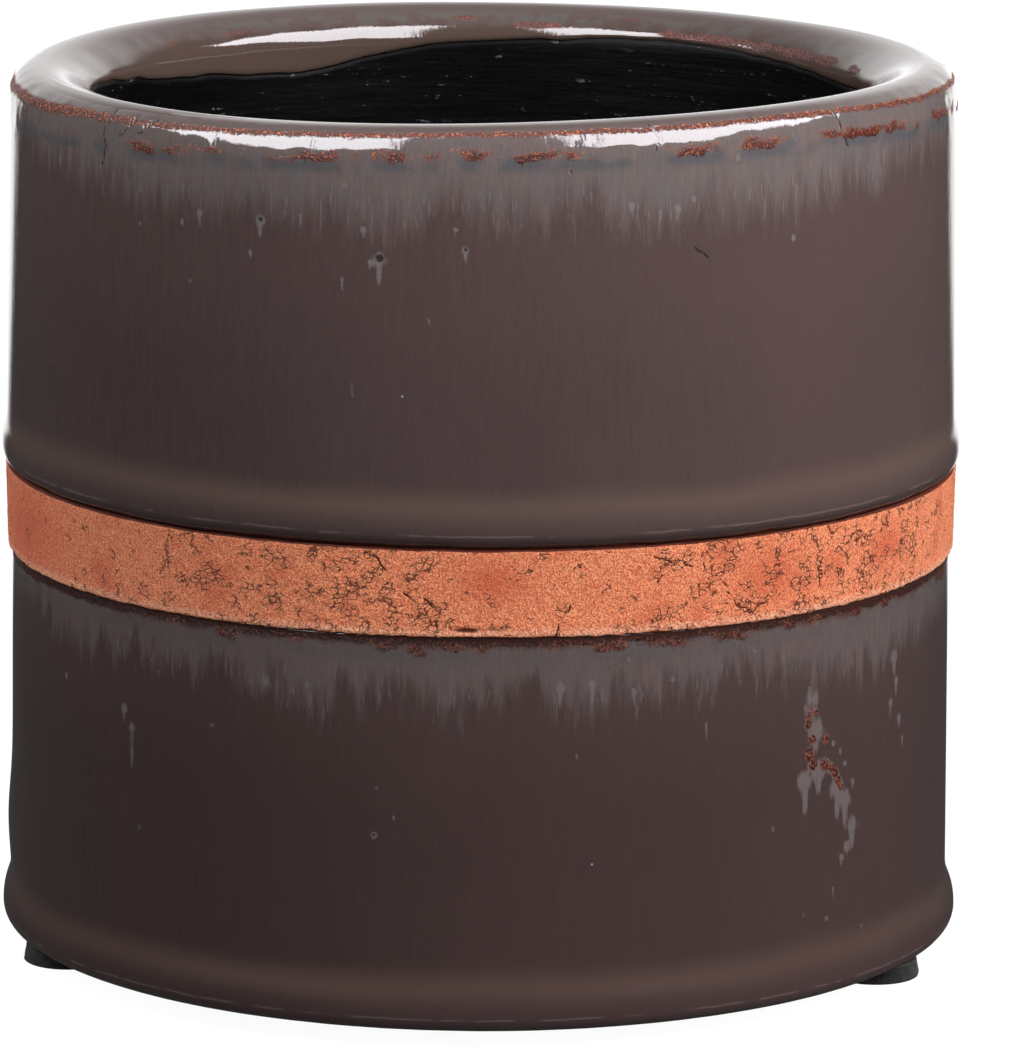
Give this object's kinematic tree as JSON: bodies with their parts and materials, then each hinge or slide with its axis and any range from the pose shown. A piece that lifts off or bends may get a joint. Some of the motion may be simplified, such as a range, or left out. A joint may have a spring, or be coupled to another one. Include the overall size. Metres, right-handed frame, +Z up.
{
  "type": "cachepot",
  "caption": "Straight-sided glazed clay cachepot with a thick rounded rim, a bare clay band between two rolled glaze beads, a sealed inside and felt pads.",
  "frame": {"origin": "on the surface that the pads stand on, at the pot's axis", "axes": "+Z up along the pot's axis, -Y towards the side that the picture shows"},
  "size_m": [0.1426, 0.1426, 0.1316],
  "materials": {
    "clay": "bare fired red clay, grainy",
    "upper_glaze": "glossy taupe glaze with rust and grey streaks",
    "lower_glaze": "glossy taupe glaze with rust and grey streaks",
    "sealer": "black brushed waterproof coat, satin",
    "felt": "black pressed felt",
    "adhesive": "clear adhesive film"
  },
  "bodies": {
    "root": {"clay_body": "clay", "upper_glaze": "upper_glaze", "lower_glaze": "lower_glaze", "inner_sealer": "sealer", "left_pad": "felt", "left_glue": "adhesive", "right_pad": "felt", "right_glue": "adhesive", "rear_pad": "felt", "rear_glue": "adhesive"}
  },
  "joints": []
}
